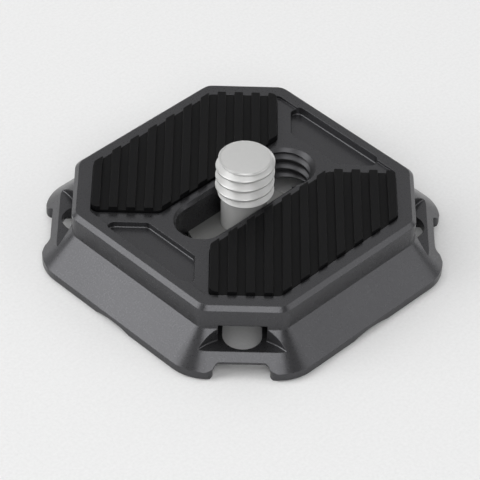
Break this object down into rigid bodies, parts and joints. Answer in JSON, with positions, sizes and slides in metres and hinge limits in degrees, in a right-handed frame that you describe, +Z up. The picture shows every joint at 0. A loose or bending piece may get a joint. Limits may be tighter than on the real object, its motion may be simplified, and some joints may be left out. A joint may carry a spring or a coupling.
{
  "type": "tripod quick release plate",
  "caption": "Octagonal dovetail camera plate with ribbed rubber pads beside a screw slot, a captive sliding camera screw and strap holes in its cut corners.",
  "frame": {"origin": "centre of the plate's bottom face, under the middle of the screw slot", "axes": "+Z up out of the top face along the camera screw, +X along the screw slot towards its tapped end"},
  "size_m": [0.038, 0.038, 0.0118],
  "materials": {
    "anodised_aluminium": "bead blasted, anodised dark grey",
    "pad_rubber": "matt, moulded with raised ribs",
    "stainless_steel": "satin"
  },
  "bodies": {
    "plate": {"plate_body": "anodised_aluminium", "grip_pad_left": "pad_rubber", "grip_pad_right": "pad_rubber"},
    "washer": {"slide_washer": "stainless_steel"},
    "screw": {"camera_screw": "stainless_steel"}
  },
  "joints": [
    {"name": "screw_slide", "type": "slide", "parent": "plate", "child": "washer", "axis": [1, 0, 0], "range_m": [-0.0063, 0.0063]},
    {"name": "screw_turn", "type": "hinge", "parent": "washer", "child": "screw", "pos_m": [0, 0, 0], "axis": [0, 0, 1], "continuous": true}
  ]
}
